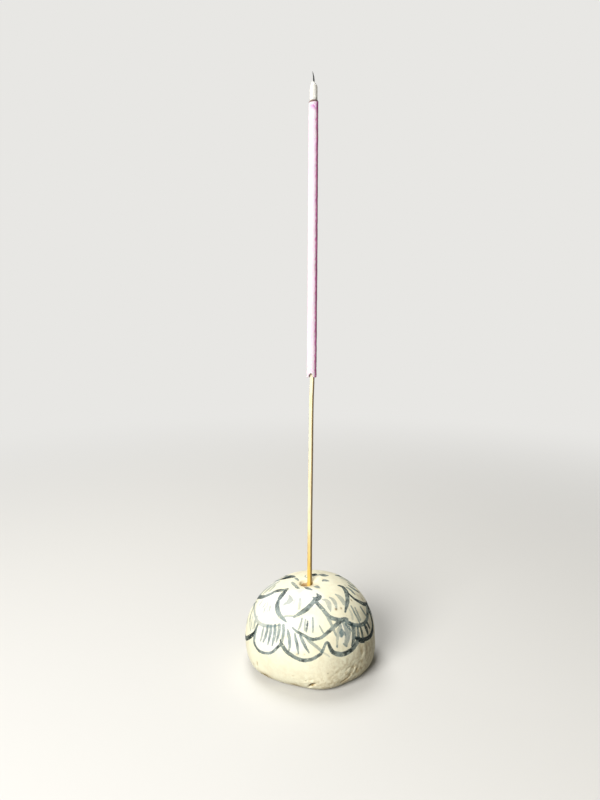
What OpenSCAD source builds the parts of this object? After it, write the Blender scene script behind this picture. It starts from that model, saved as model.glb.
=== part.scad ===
// Hand-formed stoneware incense holder with a partly burnt incense stick.
// Millimetres, +Z up. The origin is the centre of the flat foot.

/* [Clay dome] */
// Greatest width of the dome
dome_w = 53; // [48:0.5:60]
// Height of the crown above the foot, before the dimple is pressed in
dome_h = 33; // [29:0.5:40]
// Height of the widest level
belly_z = 9; // [7:0.5:12]
// Width of the flat foot
foot_w = 39.4; // [34:0.2:44]
// Fullness of the crown, where 2 is an ellipse
crown_power = 2.26; // [2:0.02:2.6]
// Fullness of the skirt between belly and foot
skirt_power = 3; // [2.4:0.1:3.6]
// Slope of the crown, rising towards the right, in degrees
slope_right = 5.1; // [0:0.1:7]
// Slope of the crown, rising towards the back, in degrees
slope_back = 4.8; // [0:0.1:7]
// How far the crown stands to the left of the foot
crown_left = 1.3; // [0:0.1:2]
// How far the crown stands in front of the foot
crown_front = 0.55; // [0:0.05:1.5]

/* [Dimple and socket] */
// Width of the thumb dimple in the crown
dimple_w = 12; // [9:0.5:15]
// Depth of the dimple at its middle
dimple_d = 1.6; // [0.4:0.1:2.4]
// How far the dimple lies to the left of the crown's middle
dimple_left = 0.6; // [0:0.1:2]
// How far the dimple lies behind the crown's middle
dimple_back = 0.5; // [0:0.1:2]
// Width of the socket's open mouth
mouth_w = 5.7; // [4:0.1:7]
// Depth over which the mouth narrows to the socket
mouth_d = 6; // [4:0.5:9]
// How far the mouth is pulled to the left of the stick
mouth_left = 1.4; // [0:0.1:1.8]
// Depth of the socket below the crown's surface
socket_d = 20; // [14:0.5:24]
// Radial clearance round the splint in the socket
socket_gap = 0.15; // [0.1:0.05:0.5]
// Clearance under the splint's end
seat_gap = 0.2; // [0.1:0.05:0.4]

/* [Stick] */
// How far the socket lies to the right of the crown's middle
stick_right = 0.33; // [-0.5:0.05:1]
// How far the socket lies behind the crown's middle
stick_back = 0.5; // [-0.5:0.05:1]
// Lean of the stick to the right, in degrees
lean_right = 0.3; // [0:0.1:3]
// Lean of the stick to the back, in degrees
lean_back = 2.5; // [0:0.1:4]
// Width of the splint at its lower end
splint_foot_w = 2.04; // [1.96:0.02:2.4]
// Width of the splint inside the incense
splint_w = 1.88; // [1.6:0.02:1.94]
// Length of bare splint above the crown
bare_len = 84.2; // [60:0.5:110]
// Length of unburnt incense
coat_len = 102.4; // [20:0.2:140]
// Width of the incense at its hem
coat_hem_w = 3.8; // [3.4:0.02:4.4]
// Width of the incense at the burning end
coat_end_w = 3.6; // [3.3:0.02:4.2]
// Width of the torn notch in the hem
hem_notch_w = 1.9; // [1:0.1:2.2]
// Height of the torn notch in the hem
hem_notch_h = 1.6; // [1.2:0.1:3]
// How far the notch lies to the left of the splint's middle
hem_notch_left = 0.25; // [0:0.05:0.5]

/* [Burnt end] */
// Height of the scorched ring
ring_h = 0.5; // [0.3:0.1:1.6]
// Width of the ash column
ash_w = 2.86; // [2.4:0.02:3.2]
// Height of the ash column at its peak
ash_h = 6.9; // [5:0.1:20]
// How far the peak of the ash lies left of its middle
ash_peak_left = 0.4; // [0:0.05:0.7]
// Slope of the broken ash to the right of the peak, in degrees
ash_slope_right = 43; // [20:1:60]
// Slope of the broken ash to the left of the peak, in degrees
ash_slope_left = 69; // [50:1:76]
// Width of the charred splint at the scorched ring
char_w = 1.2; // [0.9:0.05:1.5]
// Width of the charred splint at the top of the ash
char_end_w = 0.56; // [0.4:0.02:0.7]
// Lean of the charred splint inside the ash, in degrees
char_lean = 0.9; // [0:0.1:3]
// Height of the bare charred spike
spike_h = 3.6; // [1:0.1:6]
// How far the spike's tip curls to the left
spike_curl = 0.5; // [0:0.05:1.2]

/* [Hidden] */
around = 72;
skirt_steps = 9;
crown_steps = 20;
dimple_steps = 7;
spike_steps = 6;
char_sides = 20;
fine = 64;
beyond = 20;

belly_r = dome_w / 2;
foot_r = foot_w / 2;
socket_r = splint_foot_w / 2 + socket_gap;
splint_end = -socket_d + seat_gap;
ring_z = bare_len + coat_len;
ash_z = ring_z + ring_h;
ash_top = ash_z + ash_h;

// Dents and bulges left by the potter's fingers: [direction in degrees, height, half width in
// degrees, half height, outward push]
hand_marks = [
    [246, 2, 22, 8, -1],
    [281, 2, 13, 8, 1],
    [212, 6, 13, 7, 0.4],
    [177, 22, 20, 3, -0.4],
    [350, 9, 10, 4, -0.3],
    [150, 26, 24, 5, 0.25]
];

function crown_radius(t) = belly_r * pow(cos(t), 2 / crown_power);
function crown_height(r) =
    belly_z + (dome_h - belly_z) * pow(1 - pow(r / belly_r, crown_power), 1 / crown_power);
function skirt_radius(t) = foot_r + (belly_r - foot_r) * pow(cos(t), 2 / skirt_power);
function skirt_height(t) = belly_z * (1 - pow(sin(t), 2 / skirt_power));

// Angle between two directions, at most 180
function turn(a, b) = abs((a - b + 540) % 360 - 180);
function bell(d, w) = exp(-pow(d / w, 2));
function hand_push(a, z, i = 0) =
    i == len(hand_marks) ? 0 :
    let (m = hand_marks[i])
    m[4] * bell(turn(a, m[0]), m[2]) * bell(z - m[1], m[3]) + hand_push(a, z, i + 1);

function dimple(x, y) =
    let (d = norm([x + dimple_left, y - dimple_back]) / (dimple_w / 2))
    d < 1 ? dimple_d * pow(1 - d * d, 2) : 0;

// A point of the dome's skin: x and y are taken from the crown's middle, z before the slope
function slope(x, y, z) = z * (1 + (x * tan(slope_right) + y * tan(slope_back)) / dome_h);
function crown_shift(z) = (1 - pow(1 - z / dome_h, 2)) * [-crown_left, -crown_front];
function skin(r, z, a) =
    let (
        push = r + hand_push(a, z) * min(1, r / foot_r),
        x = push * cos(a),
        y = push * sin(a),
        shift = crown_shift(z)
    )
    [x + shift[0], y + shift[1], slope(x, y, z) - dimple(x, y) * min(1, z / dome_h)];

// Height of the crown's skin over a place near its middle
function crown_at(x, y) =
    let (r = norm([x, y]))
    slope(x, y, crown_height(r)) - dimple(x, y);

// Rings of the dome from the foot to the dimple, each as [radius, height]
dimple_r = dimple_w / 2 + dimple_left + dimple_back;
rings = concat(
    [for (i = [0:skirt_steps - 1]) let (t = 90 * (1 - i / skirt_steps)) [skirt_radius(t), skirt_height(t)]],
    [for (i = [0:crown_steps - 1])
        let (t = 90 * i / crown_steps, r = crown_radius(t)) if (r > dimple_r) [r, crown_height(r)]],
    [for (i = [dimple_steps:-1:1]) let (r = dimple_r * i / dimple_steps) [r, crown_height(r)]]
);

// Everything that stands in the socket is drawn along the stick, from the crown's skin upwards.
module along_stick() {
    translate([stick_right - crown_left, stick_back - crown_front, crown_at(stick_right, stick_back)])
        rotate([-lean_back, lean_right, 0])
            children();
}

module dome() {
    points = [
        [0, 0, 0],
        for (p = rings) for (i = [0:around - 1]) skin(p[0], p[1], 360 * i / around),
        skin(0, dome_h, 0)
    ];
    last = len(rings) - 1;
    top = len(points) - 1;
    faces = [
        for (i = [0:around - 1]) [0, 1 + i, 1 + (i + 1) % around],
        for (k = [0:last - 1]) for (i = [0:around - 1])
            let (a = 1 + k * around + i, b = 1 + k * around + (i + 1) % around)
            each [[a, a + around, b], [b, a + around, b + around]],
        for (i = [0:around - 1])
            let (a = 1 + last * around + i, b = 1 + last * around + (i + 1) % around) [a, top, b]
    ];
    polyhedron(points, faces);
}

module socket() {
    translate([0, 0, -socket_d])
        cylinder(h = socket_d, r = socket_r, $fn = fine);
    // The mouth was worked open to the left with the stick's end.
    rise = mouth_d + beyond;
    widening = (mouth_w / 2 - socket_r) / mouth_d;
    translate([0, 0, -mouth_d])
        rotate([0, -atan(mouth_left / mouth_d), 0])
            cylinder(h = rise, r1 = socket_r, r2 = socket_r + widening * rise, $fn = fine);
}

module holder() {
    color("#efe6c8")
        difference() {
            dome();
            along_stick() socket();
        }
}

// The splint with its taper below the incense and its straight length inside it
module splint_solid() {
    translate([0, 0, splint_end])
        cylinder(h = bare_len - splint_end, d1 = splint_foot_w, d2 = splint_w, $fn = fine);
    translate([0, 0, bare_len])
        cylinder(h = coat_len, d = splint_w, $fn = fine);
}

module bamboo_splint() {
    color("#e2bd72") along_stick() splint_solid();
}

module hem_notch() {
    translate([-hem_notch_w / 2 - hem_notch_left, -beyond, bare_len - beyond])
        cube([hem_notch_w, beyond, beyond + hem_notch_h - hem_notch_w / 2]);
    translate([-hem_notch_left, 0, bare_len + hem_notch_h - hem_notch_w / 2])
        rotate([90, 0, 0])
            cylinder(h = beyond, d = hem_notch_w, $fn = fine);
}

module incense_coat() {
    color("#dc8ac8")
        along_stick()
            difference() {
                translate([0, 0, bare_len])
                    cylinder(h = coat_len, d1 = coat_hem_w, d2 = coat_end_w, $fn = fine);
                translate([0, 0, bare_len - beyond])
                    cylinder(h = coat_len + 2 * beyond, d = splint_w, $fn = fine);
                hem_notch();
            }
}

module scorched_ring() {
    color("#3b2a26")
        along_stick()
            translate([0, 0, ring_z])
                difference() {
                    cylinder(h = ring_h, d1 = coat_end_w, d2 = (coat_end_w + ash_w) / 2, $fn = fine);
                    translate([0, 0, -ring_z])
                        char_solid();
                }
}

module ash_column() {
    peak = [-ash_peak_left, 0, ash_top];
    color("#dedad2")
        along_stick()
            difference() {
                translate([0, 0, ash_z])
                    cylinder(h = ash_h, d = ash_w, $fn = fine);
                char_solid();
                translate(peak)
                    rotate([0, ash_slope_right, 0])
                        translate([0, -beyond, 0])
                            cube([beyond, 2 * beyond, beyond]);
                translate(peak)
                    rotate([0, -ash_slope_left, 0])
                        translate([-beyond, -beyond, 0])
                            cube([beyond, 2 * beyond, beyond]);
            }
}

// Rings of the charred splint from the scorched ring to the spike's tip: [x, z, radius]
char_rings = concat(
    [[0, ring_z, char_w / 2], [0, ash_z, char_w / 2]],
    [for (i = [0:spike_steps])
        let (s = i / spike_steps)
        [ash_h * tan(char_lean) - spike_curl * pow(s, 1.6), ash_top + spike_h * s,
            char_end_w / 2 * (1 - 0.85 * s)]]
);

module char_solid() {
    last = len(char_rings) - 1;
    points = [
        for (c = char_rings) for (i = [0:char_sides - 1])
            let (a = 360 * i / char_sides) [c[0] + c[2] * cos(a), c[2] * sin(a), c[1]]
    ];
    faces = [
        [for (i = [0:char_sides - 1]) i],
        for (k = [0:last - 1]) for (i = [0:char_sides - 1])
            let (a = k * char_sides + i, b = k * char_sides + (i + 1) % char_sides)
            each [[a, a + char_sides, b], [b, a + char_sides, b + char_sides]],
        [for (i = [char_sides - 1:-1:0]) last * char_sides + i]
    ];
    polyhedron(points, faces);
}

module charred_splint() {
    color("#1d1a19") along_stick() char_solid();
}

holder();
bamboo_splint();
incense_coat();
scorched_ring();
ash_column();
charred_splint();
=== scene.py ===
import math

import bmesh
import bpy
import numpy as np
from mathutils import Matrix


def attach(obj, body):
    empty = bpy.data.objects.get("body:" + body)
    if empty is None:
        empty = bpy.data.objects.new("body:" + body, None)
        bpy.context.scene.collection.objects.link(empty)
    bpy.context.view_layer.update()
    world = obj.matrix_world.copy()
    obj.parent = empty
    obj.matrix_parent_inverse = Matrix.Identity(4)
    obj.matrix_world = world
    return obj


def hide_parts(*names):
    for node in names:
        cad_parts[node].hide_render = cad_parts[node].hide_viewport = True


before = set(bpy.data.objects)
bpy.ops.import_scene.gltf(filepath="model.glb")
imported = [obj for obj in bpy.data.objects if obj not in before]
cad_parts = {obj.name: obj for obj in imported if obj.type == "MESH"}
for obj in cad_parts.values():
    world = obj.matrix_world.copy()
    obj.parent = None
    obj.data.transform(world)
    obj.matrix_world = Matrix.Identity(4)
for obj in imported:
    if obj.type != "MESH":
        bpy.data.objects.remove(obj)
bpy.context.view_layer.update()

MM = 0.001


# -------- camera and lamps

CAMERA_PLACE_MM = (-4.87, -247.15, 147.9)
CAMERA_DOWN_DEG = 9.36
CAMERA_LENS_MM, SENSOR_MM = 29.11, 36.0
NEAR_CLIP = 0.01

# Name, place, aim, width in metres, power in watts, colour
LAMPS = [("key", (-0.38, -0.59, 0.43), (0, 0, 0.06), 0.5, 8.6, (1.0, 0.99, 0.965)),
         ("top light", (-0.15, 0.36, 0.80), (0, 0, 0.03), 0.5, 4.0, (1.0, 0.995, 0.975))]


def new_object(name, data):
    thing = bpy.data.objects.new(name, data)
    bpy.context.scene.collection.objects.link(thing)
    return thing


def make_camera():
    data = bpy.data.cameras.new("camera")
    data.sensor_width = SENSOR_MM
    data.lens = CAMERA_LENS_MM
    data.clip_start = NEAR_CLIP
    camera = new_object("camera", data)
    camera.location = [c * MM for c in CAMERA_PLACE_MM]
    camera.rotation_euler = (math.radians(90 - CAMERA_DOWN_DEG), 0, 0)
    bpy.context.scene.camera = camera


def make_lamp(name, place, aim, width, power, colour):
    data = bpy.data.lights.new(name, "AREA")
    data.shape = "DISK"
    data.size = width
    data.energy = power
    data.color = colour
    lamp = new_object(name, data)
    lamp.location = place
    away = np.array(place) - np.array(aim)
    tilt = math.atan2(math.hypot(away[0], away[1]), away[2])
    lamp.rotation_euler = (tilt, 0, math.atan2(away[1], away[0]) + math.pi / 2)


# -------- shader helpers

class Wire:
    """An output of a node. Sums and products of it are new nodes in the same tree."""

    def __init__(self, tree, socket):
        self.tree = tree
        self.socket = socket

    def __getitem__(self, name):
        """Another output of the same node."""
        return Wire(self.tree, self.socket.node.outputs[name])

    def __add__(self, other):
        return maths("ADD", self, other)

    def __sub__(self, other):
        return maths("SUBTRACT", self, other)

    def __rsub__(self, other):
        return maths("SUBTRACT", other, self)

    def __mul__(self, other):
        return maths("MULTIPLY", self, other)

    def clamped(self):
        return maths("ADD", self, 0.0, clamp=True)


def plug(socket, value):
    """Link an input to a wire, or set it to a value."""
    if isinstance(value, Wire):
        value.tree.links.new(value.socket, socket)
    else:
        socket.default_value = value


def add(tree, kind, inputs=None, out=0, **settings):
    """One output of a new node with these settings and inputs."""
    node = tree.nodes.new(kind)
    for key, value in settings.items():
        setattr(node, key, value)
    for key, value in (inputs or {}).items():
        plug(node.inputs[key], value)
    return Wire(tree, node.outputs[out])


def maths(operation, a, b, clamp=False):
    tree = a.tree if isinstance(a, Wire) else b.tree
    return add(tree, "ShaderNodeMath", {0: a, 1: b}, operation=operation, use_clamp=clamp)


def ramp(value, low, high, out_low=0.0, out_high=1.0):
    """Smooth step of value from low to high."""
    inputs = {"Value": value, "From Min": low, "From Max": high, "To Min": out_low, "To Max": out_high}
    return add(value.tree, "ShaderNodeMapRange", inputs, interpolation_type="SMOOTHSTEP")


def mix(factor, a, b):
    """The colour between a and b."""
    return add(factor.tree, "ShaderNodeMix", {0: factor, 6: a, 7: b}, out=2, data_type="RGBA")


def layered(colour, *layers):
    """A colour under layers, each (cover, colour)."""
    for cover, over in layers:
        colour = mix(cover, colour, over)
    return colour


def noise(vector, scale, detail=3.0, rough=0.55):
    inputs = {"Vector": vector, "Scale": scale, "Detail": detail, "Roughness": rough}
    return add(vector.tree, "ShaderNodeTexNoise", inputs, out="Fac")


def object_mm(tree, stretch=(1000.0, 1000.0, 1000.0), turn=0.0):
    """Object coordinates in millimetres, or stretched otherwise, and then turned about X."""
    place = add(tree, "ShaderNodeTexCoord", out="Object")
    return add(tree, "ShaderNodeMapping", {"Vector": place, "Rotation": (turn, 0, 0), "Scale": stretch})


def attribute(tree, name):
    return add(tree, "ShaderNodeAttribute", out="Fac", attribute_name=name)


def srgb(red, green, blue):
    """A colour picked as 0 to 255 display values."""
    def linear(v):
        v /= 255.0
        return v / 12.92 if v <= 0.04045 else ((v + 0.055) / 1.055) ** 2.4
    return (linear(red), linear(green), linear(blue), 1.0)


def new_tree(owner):
    """The emptied node tree of a material or world."""
    owner.use_nodes = True
    owner.node_tree.nodes.clear()
    return owner.node_tree


def new_material(name):
    material = bpy.data.materials.new(name)
    return material, new_tree(material)


def principled(tree, **inputs):
    inputs = {name.replace("_", " "): value for name, value in inputs.items()}
    return add(tree, "ShaderNodeBsdfPrincipled", inputs)


def output(shader, kind="ShaderNodeOutputMaterial"):
    plug(shader.tree.nodes.new(kind).inputs["Surface"], shader)


def bump(height, distance_mm, strength):
    inputs = {"Height": height, "Distance": distance_mm * MM, "Strength": strength}
    return add(height.tree, "ShaderNodeBump", inputs)


# -------- shared effects

def new_group(name, numbers, colours=()):
    """A shared effect over a vector: its vector input, from which the others are found by name."""
    group = bpy.data.node_groups.new(name, "ShaderNodeTree")
    group.interface.new_socket("Vector", in_out="INPUT", socket_type="NodeSocketVector")
    for label in colours:
        group.interface.new_socket(label, in_out="INPUT", socket_type="NodeSocketColor")
    for label, value in numbers.items():
        socket = group.interface.new_socket(label, in_out="INPUT", socket_type="NodeSocketFloat")
        socket.default_value = value
    return Wire(group, group.nodes.new("NodeGroupInput").outputs["Vector"])


def close_group(**results):
    """The shared effect that these wires belong to, with them as its outputs."""
    group = next(iter(results.values())).tree
    for label in results:
        kind = "NodeSocketColor" if label == "Colour" else "NodeSocketFloat"
        group.interface.new_socket(label, in_out="OUTPUT", socket_type=kind)
    sink = group.nodes.new("NodeGroupOutput")
    for label, wire in results.items():
        plug(sink.inputs[label], wire)
    return group


def use(group, **inputs):
    """The first output of a shared effect in the tree of its vector."""
    return add(inputs["Vector"].tree, "ShaderNodeGroup", inputs, node_tree=group)


def specks_group():
    """Sparse round specks: Mask is 1 in a speck. Size is their spacing in mm, Amount the share kept."""
    given = new_group("specks", {"Size": 1.0, "Amount": 0.3, "Radius": 0.2})
    scale = maths("DIVIDE", 1.0, given["Size"])
    cells = add(given.tree, "ShaderNodeTexVoronoi", {"Vector": given, "Scale": scale})
    pick = add(given.tree, "ShaderNodeSeparateColor", {"Color": cells["Color"]})
    kept = maths("LESS_THAN", pick["Red"], given["Amount"])
    radius = given["Radius"] * (noise(given, scale * 6.0) * 0.25 + pick["Green"] * 0.9)
    return close_group(Mask=kept * ramp(cells["Distance"] - radius, 0.06, -0.06))


def streaks_group():
    """Streaks that are long where the stretched vector runs slowly: Mask is 1 in a streak."""
    given = new_group("streaks", {"Low": 0.4, "High": 0.65})
    fine = noise(given, 1.0, detail=4.0, rough=0.65)
    return close_group(Mask=ramp(fine, given["Low"], given["High"]), Height=fine)


def mottle_group():
    """Soft variation of a colour: its light and dark neighbours mixed by two sizes of noise."""
    given = new_group("mottle", {"Scale": 1.0, "Amount": 0.5}, colours=("Colour", "Other"))
    broad = noise(given, given["Scale"], detail=2.0)
    fine = noise(given, given["Scale"] * 7.0, detail=4.0, rough=0.6)
    factor = ramp(broad * 0.6 + fine * 0.4, 0.38, 0.62) * given["Amount"]
    return close_group(Colour=mix(factor, given["Colour"], given["Other"]), Height=fine)


def brush_group():
    """A mark of a loaded brush: Cover is how much colour lies on the surface."""
    given = new_group("brush_mark", {"Edge": 3.0, "Load": 0.8, "Along": 0.0, "Across": 0.0, "Dry": 0.4})
    wobble = noise(given, 0.8, detail=2.0) * 0.30 - 0.15
    rag = noise(given, 3.0) * 0.44 - 0.22
    body = ramp(given["Edge"] + wobble + rag, 0.24, 0.0)
    hairs = add(given.tree, "ShaderNodeCombineXYZ", {0: given["Along"] * 0.45, 1: given["Across"] * 2.6})
    gaps = ramp(noise(hairs, 1.0, rough=0.6), 0.44, 0.30) * given["Dry"]
    pits = ramp(noise(given, 2.3, detail=2.0), 0.62, 0.70) * 0.8
    pools = ramp(noise(given, 0.5), 0.35, 0.65, 0.967, 1.092)
    cover = body * given["Load"] * pools * (1.0 - gaps) * (1.0 - pits)
    return close_group(Cover=cover.clamped())


SPECKS, STREAKS, MOTTLE, BRUSH = specks_group(), streaks_group(), mottle_group(), brush_group()


# -------- floor and light

FLOOR_WIDE, FLOOR_SEGMENTS = 6.0, 96
FLOOR_COLOUR, FLOOR_BOUNCE = srgb(226, 225, 222), srgb(116, 111, 96)
FADE_START_MM, FADE_END_MM = 100.0, 550.0
BACKGROUND = srgb(232, 231, 228)
FILL_COLOUR, FILL_STRENGTH = (1.0, 0.94, 0.80, 1), 0.08


def seen_directly(tree):
    """1 for rays that show the background: camera, glossy and transmission rays."""
    path = add(tree, "ShaderNodeLightPath")
    glossy = maths("MAXIMUM", path["Is Camera Ray"], path["Is Glossy Ray"])
    return maths("MAXIMUM", glossy, path["Is Transmission Ray"])


def make_world():
    world = bpy.data.worlds.new("studio")
    bpy.context.scene.world = world
    tree = new_tree(world)
    shown = add(tree, "ShaderNodeBackground", {"Color": BACKGROUND, "Strength": 1.0})
    light = add(tree, "ShaderNodeBackground", {"Color": FILL_COLOUR, "Strength": FILL_STRENGTH})
    both = add(tree, "ShaderNodeMixShader", {0: seen_directly(tree), 1: light, 2: shown})
    output(both, "ShaderNodeOutputWorld")


def make_floor():
    """A pale floor that keeps the shadow near the object and runs into the background further out."""
    bm = bmesh.new()
    bmesh.ops.create_circle(bm, cap_ends=True, segments=FLOOR_SEGMENTS, radius=FLOOR_WIDE / 2)
    mesh = bpy.data.meshes.new("floor")
    bm.to_mesh(mesh)
    bm.free()
    floor = new_object("floor", mesh)
    material, tree = new_material("floor")
    seen = seen_directly(tree)
    colour = mix(seen, FLOOR_BOUNCE, FLOOR_COLOUR)
    lit = principled(tree, Base_Color=colour, Roughness=0.75, Specular_IOR_Level=0.2)
    plain = add(tree, "ShaderNodeEmission", {"Color": BACKGROUND, "Strength": 1.0})
    away = add(tree, "ShaderNodeVectorMath", {0: object_mm(tree)}, out="Value", operation="LENGTH")
    far = ramp(away, FADE_START_MM, FADE_END_MM) * seen
    output(add(tree, "ShaderNodeMixShader", {0: far, 1: lit, 2: plain}))
    mesh.materials.append(material)


# -------- mesh helpers

WAVES = 28


def turned(rows, around):
    """A bmesh of (radius, height) rows in mm, rolled into a round. Each point remembers its row."""
    bm = bmesh.new()
    bmesh.ops.create_grid(bm, x_segments=around, y_segments=len(rows) - 1, size=1)
    row_of = bm.verts.layers.float.new("row")
    for vert in bm.verts:
        number = round((vert.co.y + 1) / 2 * (len(rows) - 1))
        turn = (vert.co.x + 1) * math.pi
        radius, height = rows[number]
        vert[row_of] = number
        vert.co = (radius * math.cos(turn), radius * math.sin(turn), height)
    bmesh.ops.remove_doubles(bm, verts=bm.verts, dist=1e-5)
    bmesh.ops.recalc_face_normals(bm, faces=bm.faces)
    return bm


def turned_ring(rows, around):
    """A closed ring: its last row meets its first."""
    return turned(rows + rows[:1], around)


def read_rows(bm):
    """Row number, azimuth in degrees, radius and place of each point of a turned bmesh."""
    row_of = bm.verts.layers.float["row"]
    row = np.rint([v[row_of] for v in bm.verts]).astype(int)
    place = np.array([v.co for v in bm.verts])
    azimuth = np.degrees(np.arctan2(place[:, 1], place[:, 0])) % 360
    return row, azimuth, np.hypot(place[:, 0], place[:, 1]), place


def finish_piece(bm, name, body, node, material, points, values):
    """The bmesh as a piece with its points laid at these places in mm, and its values as attributes."""
    mesh = bpy.data.meshes.new(name)
    bm.to_mesh(mesh)
    bm.free()
    mesh.vertices.foreach_set("co", (points * MM).astype(np.float32).ravel())
    for key, numbers in values.items():
        layer = mesh.attributes.new(key, "FLOAT", "POINT")
        layer.data.foreach_set("value", np.asarray(numbers, np.float32))
    mesh.polygons.foreach_set("use_smooth", np.full(len(mesh.polygons), True))
    mesh.update()
    mesh.materials.append(material)
    piece = new_object(name, mesh)
    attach(piece, body)
    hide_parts(node)


def lumps(points, *layers):
    """A sum of smooth irregular layers, each (height, size of its features in mm, seed)."""
    total = 0
    for height, size, seed in layers:
        draw = np.random.RandomState(seed)
        way = draw.normal(size=(WAVES, 3))
        way /= np.linalg.norm(way, axis=1)[:, None]
        pitch = 2 * math.pi / (size * draw.uniform(0.7, 1.6, WAVES))
        start = draw.uniform(0, 2 * math.pi, WAVES)
        layer = np.zeros(len(points))
        for direction, rate, phase in zip(way, pitch, start):
            layer += np.sin(points @ direction * rate + phase)
        total = total + height * (layer / math.sqrt(WAVES))
    return total


def turn_between(a, b):
    """Smallest angle between two directions, in degrees."""
    return np.abs((a - b + 540) % 360 - 180)


def bell(distance, width):
    return np.exp(-(distance / width) ** 2)


def smooth(value):
    value = np.clip(value, 0, 1)
    return value * value * (3 - 2 * value)


def polar(azimuth, radius, height):
    a = np.radians(azimuth)
    return np.stack([radius * np.cos(a), radius * np.sin(a), height], -1)


# -------- the hand-formed dome, in mm

DOME_H = 33.0
BELLY_R, BELLY_Z = 26.5, 9.0
FOOT_R = 19.7
CROWN_POWER, SKIRT_POWER = 2.26, 3.0
CROWN_STEPS, SKIRT_STEPS = 900, 500
SLOPE_RIGHT, SLOPE_BACK = math.tan(math.radians(5.1)), math.tan(math.radians(4.8))
CROWN_SHIFT = np.array([-1.3, -0.55])
DIMPLE_R, DIMPLE_DEEP = 6.0, 1.6
DIMPLE_AT = np.array([-0.6, 0.5])
DOME_CENTRE = np.array([0, 0, 6.0])
HAND_MARKS = [  # direction, height, half width, half height, push
    (246, 2, 22, 8, -1.0), (281, 2, 13, 8, 1.0), (212, 6, 13, 7, 0.4),
    (177, 22, 20, 3, -0.4), (350, 9, 10, 4, -0.3), (150, 26, 24, 5, 0.25)]

STICK_AT = np.array([0.33, 0.5])
LEAN_BACK, LEAN_RIGHT = math.radians(2.5), math.radians(0.3)
MOUTH_LEFT = 1.4
MOUTH_R, MOUTH_DEEP = 2.85, 6.0
BORE_R, BORE_DEEP = 1.17, 20.0


def hand_push(azimuth, height):
    total = np.zeros(np.broadcast(azimuth, height).shape)
    for direction, level, wide, tall, push in HAND_MARKS:
        total = total + push * bell(turn_between(azimuth, direction), wide) * bell(height - level, tall)
    return total


def dimple(x, y):
    reach = np.hypot(x - DIMPLE_AT[0], y - DIMPLE_AT[1]) / DIMPLE_R
    return DIMPLE_DEEP * np.clip(1 - reach ** 2, 0, None) ** 2


def slope(x, y):
    return 1 + (x * SLOPE_RIGHT + y * SLOPE_BACK) / DOME_H


def skin(radius, height, azimuth):
    """Place on the dome of a point of its profile at a direction."""
    push = radius + hand_push(azimuth, height) * np.minimum(1, radius / FOOT_R)
    x, y = push * np.cos(np.radians(azimuth)), push * np.sin(np.radians(azimuth))
    shift = 1 - (1 - height / DOME_H) ** 2
    z = height * slope(x, y) - dimple(x, y) * np.minimum(1, height / DOME_H)
    return np.stack([x + CROWN_SHIFT[0] * shift, y + CROWN_SHIFT[1] * shift, z], -1)


def crown_at(x, y):
    """Height of the crown over a point that is given before the crown's shift."""
    radius = np.hypot(x, y)
    height = BELLY_Z + (DOME_H - BELLY_Z) * (1 - (radius / BELLY_R) ** CROWN_POWER) ** (1 / CROWN_POWER)
    return height * slope(x, y) - dimple(x, y)


def dome_profile():
    """The profile from the crown's middle to the foot's edge: radius, height and drop along it."""
    t = np.radians(np.linspace(90, 0, CROWN_STEPS))
    crown = np.stack([BELLY_R * np.cos(t) ** (2 / CROWN_POWER),
                      BELLY_Z + (DOME_H - BELLY_Z) * np.sin(t) ** (2 / CROWN_POWER)], -1)
    t = np.radians(np.linspace(0, 90, SKIRT_STEPS))[1:]
    skirt = np.stack([FOOT_R + (BELLY_R - FOOT_R) * np.cos(t) ** (2 / SKIRT_POWER),
                      BELLY_Z * (1 - np.sin(t) ** (2 / SKIRT_POWER))], -1)
    line = np.concatenate([crown, skirt])
    line[0], line[-1] = (0, DOME_H), (FOOT_R, 0)
    drop = np.concatenate([[0], np.cumsum(np.hypot(*np.diff(line, axis=0).T))])
    return line[:, 0], line[:, 1], drop


PROFILE_R, PROFILE_Z, PROFILE_DROP = dome_profile()


def profile_at(drop):
    """Radius and height of the profile at a drop in mm from the crown's middle."""
    return np.interp(drop, PROFILE_DROP, PROFILE_R), np.interp(drop, PROFILE_DROP, PROFILE_Z)


def on_dome(way):
    """Places on the dome of (direction in degrees, drop) points."""
    return skin(*profile_at(way[:, 1]), way[:, 0])


def stick_matrix():
    """Turn and place of the stick's own frame, whose height runs along the stick from the crown."""
    c, s = math.cos(LEAN_BACK), math.sin(LEAN_BACK)
    back = np.array([[1, 0, 0], [0, c, s], [0, -s, c]])
    c, s = math.cos(LEAN_RIGHT), math.sin(LEAN_RIGHT)
    right = np.array([[c, 0, s], [0, 1, 0], [-s, 0, c]])
    foot = np.array([*(STICK_AT + CROWN_SHIFT), float(crown_at(*STICK_AT))])
    return right @ back, foot


STICK_TURN, STICK_FOOT = stick_matrix()


def on_stick(points):
    return points @ STICK_TURN.T + STICK_FOOT


# -------- brush marks

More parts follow.
